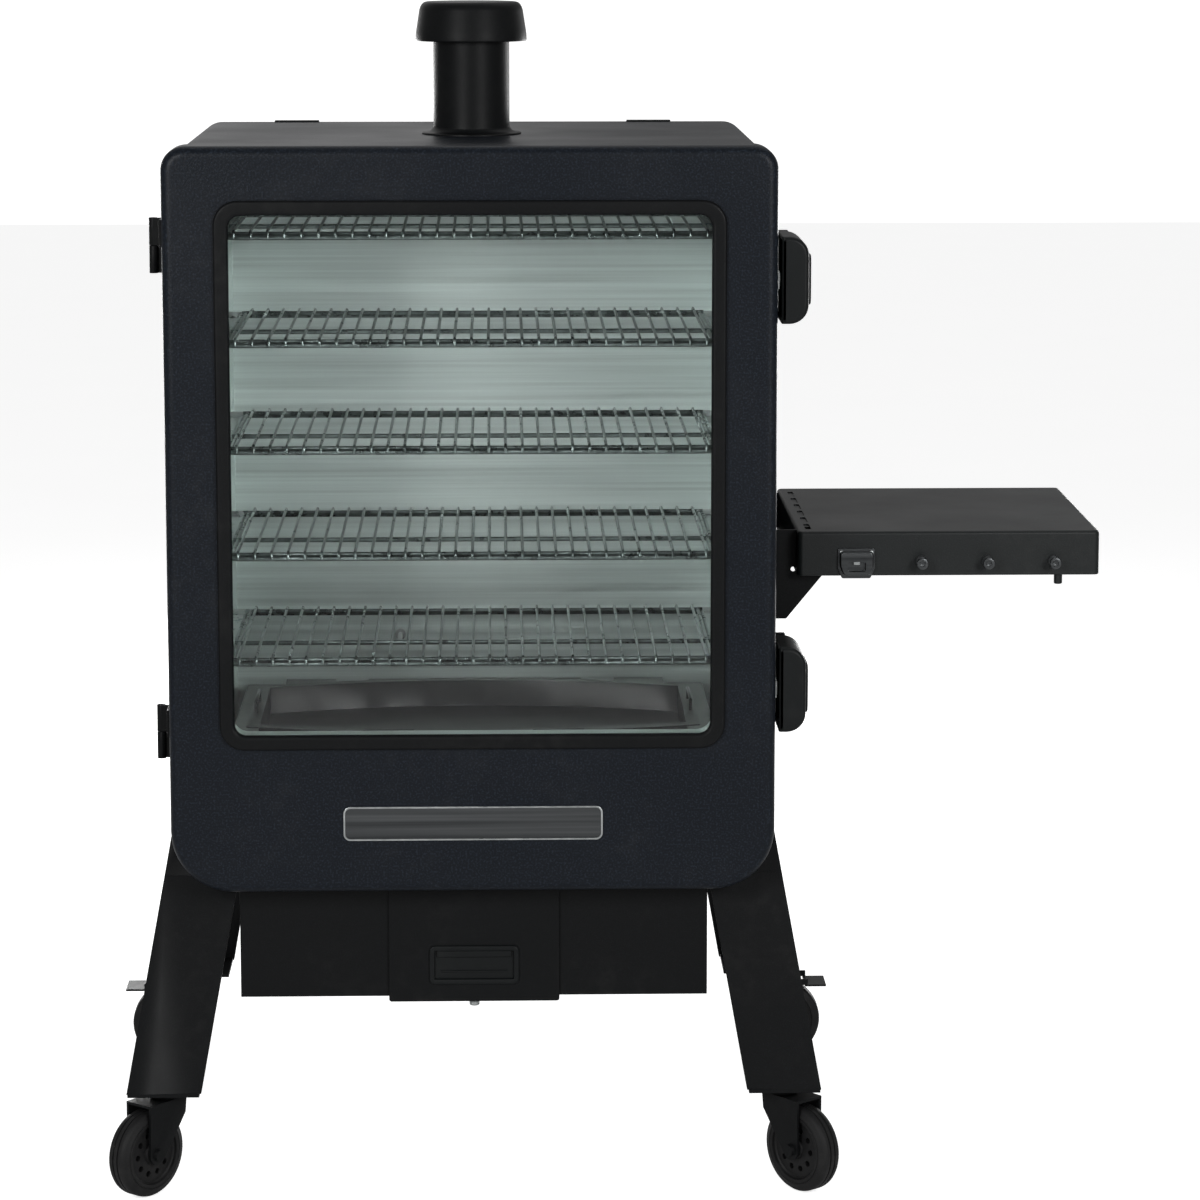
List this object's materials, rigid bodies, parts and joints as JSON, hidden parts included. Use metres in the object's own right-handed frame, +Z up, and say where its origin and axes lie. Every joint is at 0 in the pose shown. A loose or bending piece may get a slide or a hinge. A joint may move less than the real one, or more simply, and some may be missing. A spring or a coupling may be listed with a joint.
{
  "type": "electric cabinet smoker",
  "caption": "Upright insulated smoking cabinet with a windowed door, wire racks, capped flue, side shelf and grease drawer on splayed caster legs",
  "frame": {"origin": "on the floor, below the middle of the whole object including its side shelf and rear controls", "axes": "+Z up, the door faces -Y, the side shelf reaches towards +X"},
  "size_m": [1.204, 0.6969, 1.39],
  "materials": {
    "enamel_shell": "fine textured enamel",
    "satin_black": "satin",
    "stainless": "brushed",
    "zinc": "plated",
    "wool": "fibre blanket",
    "rope_seal": "woven glass rope",
    "heater": "oxidised",
    "black_enamel": "gloss enamel",
    "glass": "clear",
    "silicone": "matt",
    "shelf_coat": "fine textured",
    "black_plastic": "moulded",
    "board": "lacquered",
    "wire_chrome": "plated",
    "wheel_rubber": "moulded"
  },
  "bodies": {
    "cabinet": {"outer_shell": "enamel_shell", "liner": "stainless", "insulation": "wool", "back_panel": "satin_black", "door_gasket": "rope_seal", "rack_rails": "zinc", "heating_element": "heater", "heat_deflector": "black_enamel", "temperature_probe": "zinc", "flue_pipe": "satin_black", "flue_spindle": "zinc", "hinge_brackets": "satin_black", "latch_bases": "satin_black", "shelf_top": "shelf_coat", "shelf_brackets": "satin_black", "bottle_opener": "zinc", "tool_hooks": "zinc", "control_housing": "satin_black", "control_board": "board", "power_inlet": "black_plastic", "leg_front_left": "satin_black", "leg_front_right": "satin_black", "leg_rear_left": "satin_black", "leg_rear_right": "satin_black", "leg_bolts": "zinc", "base_skirt": "satin_black", "caster_stems": "zinc"},
    "door": {"door_outer_skin": "enamel_shell", "door_inner_skin": "stainless", "window_frame": "satin_black", "glass_gasket": "silicone", "window_glass": "glass", "name_badge": "zinc", "hinge_straps": "satin_black", "door_catches": "zinc"},
    "latch_upper": {"latch_paddle_upper": "black_plastic"},
    "latch_lower": {"latch_paddle_lower": "black_plastic"},
    "rack_1": {"rack_1": "wire_chrome"},
    "rack_2": {"rack_2": "wire_chrome"},
    "rack_3": {"rack_3": "wire_chrome"},
    "rack_4": {"rack_4": "wire_chrome"},
    "rack_5": {"rack_5": "wire_chrome"},
    "drip_pan": {"drip_pan": "black_enamel"},
    "chip_tray": {"chip_tray": "black_enamel"},
    "drawer": {"drawer_tray": "satin_black", "drawer_front": "satin_black", "drawer_pull": "black_plastic", "drain_plug": "zinc"},
    "flue_cap": {"flue_cap": "satin_black"},
    "control_knob": {"control_knob": "black_plastic"},
    "caster_front_left": {"caster_fork_front_left": "satin_black"},
    "caster_front_right": {"caster_fork_front_right": "satin_black"},
    "caster_rear_left": {"caster_fork_rear_left": "satin_black"},
    "caster_rear_right": {"caster_fork_rear_right": "satin_black"},
    "wheel_front_left": {"caster_wheel_front_left": "wheel_rubber"},
    "wheel_front_right": {"caster_wheel_front_right": "wheel_rubber"},
    "wheel_rear_left": {"caster_wheel_rear_left": "wheel_rubber"},
    "wheel_rear_right": {"caster_wheel_rear_right": "wheel_rubber"},
    "pedal_left": {"brake_pedal_left": "black_plastic"},
    "pedal_right": {"brake_pedal_right": "black_plastic"}
  },
  "joints": [
    {"name": "door_swing", "type": "hinge", "parent": "cabinet", "child": "door", "pos_m": [-0.505, -0.29005, 0.804], "axis": [0, 0, -1], "range_deg": [0, 120]},
    {"name": "latch_upper_swing", "type": "hinge", "parent": "cabinet", "child": "latch_upper", "pos_m": [0.219, -0.23805, 1.082], "axis": [0, 0, 1], "range_deg": [0, 100]},
    {"name": "latch_lower_swing", "type": "hinge", "parent": "cabinet", "child": "latch_lower", "pos_m": [0.219, -0.23805, 0.607], "axis": [0, 0, 1], "range_deg": [0, 100]},
    {"name": "rack_1_slide", "type": "slide", "parent": "cabinet", "child": "rack_1", "axis": [0, -1, 0], "range_m": [0, 0.045]},
    {"name": "rack_2_slide", "type": "slide", "parent": "cabinet", "child": "rack_2", "axis": [0, -1, 0], "range_m": [0, 0.045]},
    {"name": "rack_3_slide", "type": "slide", "parent": "cabinet", "child": "rack_3", "axis": [0, -1, 0], "range_m": [0, 0.045]},
    {"name": "rack_4_slide", "type": "slide", "parent": "cabinet", "child": "rack_4", "axis": [0, -1, 0], "range_m": [0, 0.045]},
    {"name": "rack_5_slide", "type": "slide", "parent": "cabinet", "child": "rack_5", "axis": [0, -1, 0], "range_m": [0, 0.045]},
    {"name": "drip_pan_slide", "type": "slide", "parent": "cabinet", "child": "drip_pan", "axis": [0, -1, 0], "range_m": [0, 0.022]},
    {"name": "chip_tray_slide", "type": "slide", "parent": "cabinet", "child": "chip_tray", "axis": [0, -1, 0], "range_m": [0, 0.04]},
    {"name": "drawer_slide", "type": "slide", "parent": "cabinet", "child": "drawer", "axis": [0, -1, 0], "range_m": [0, 0.28]},
    {"name": "flue_cap_screw", "type": "slide", "parent": "cabinet", "child": "flue_cap", "axis": [0, 0, 1], "range_m": [-0.008, 0.02]},
    {"name": "control_knob_turn", "type": "hinge", "parent": "cabinet", "child": "control_knob", "pos_m": [-0.083, 0.33195, 0.64], "axis": [0, -1, 0], "range_deg": [0, 270]},
    {"name": "caster_front_left_swivel", "type": "hinge", "parent": "cabinet", "child": "caster_front_left", "pos_m": [-0.508, -0.27705, 0.1155], "axis": [0, 0, 1], "continuous": true},
    {"name": "wheel_front_left_spin", "type": "hinge", "parent": "caster_front_left", "child": "wheel_front_left", "pos_m": [-0.5305, -0.30386, 0.0515], "axis": [-0.766, 0.6428, 0], "continuous": true},
    {"name": "caster_front_right_swivel", "type": "hinge", "parent": "cabinet", "child": "caster_front_right", "pos_m": [0.222, -0.27705, 0.1155], "axis": [0, 0, 1], "continuous": true},
    {"name": "wheel_front_right_spin", "type": "hinge", "parent": "caster_front_right", "child": "wheel_front_right", "pos_m": [0.2445, -0.30386, 0.0515], "axis": [0.766, 0.6428, 0], "continuous": true},
    {"name": "caster_rear_left_swivel", "type": "hinge", "parent": "cabinet", "child": "caster_rear_left", "pos_m": [-0.508, 0.25095, 0.1155], "axis": [0, 0, 1], "continuous": true},
    {"name": "wheel_rear_left_spin", "type": "hinge", "parent": "caster_rear_left", "child": "wheel_rear_left", "pos_m": [-0.543, 0.25095, 0.0515], "axis": [0, -1, 0], "continuous": true},
    {"name": "caster_rear_right_swivel", "type": "hinge", "parent": "cabinet", "child": "caster_rear_right", "pos_m": [0.222, 0.25095, 0.1155], "axis": [0, 0, 1], "continuous": true},
    {"name": "wheel_rear_right_spin", "type": "hinge", "parent": "caster_rear_right", "child": "wheel_rear_right", "pos_m": [0.257, 0.25095, 0.0515], "axis": [0, -1, 0], "continuous": true},
    {"name": "brake_left_press", "type": "hinge", "parent": "caster_rear_left", "child": "pedal_left", "pos_m": [-0.548, 0.25095, 0.107], "axis": [0, 1, 0], "range_deg": [0, 16]},
    {"name": "brake_right_press", "type": "hinge", "parent": "caster_rear_right", "child": "pedal_right", "pos_m": [0.262, 0.25095, 0.107], "axis": [0, -1, 0], "range_deg": [0, 16]}
  ]
}
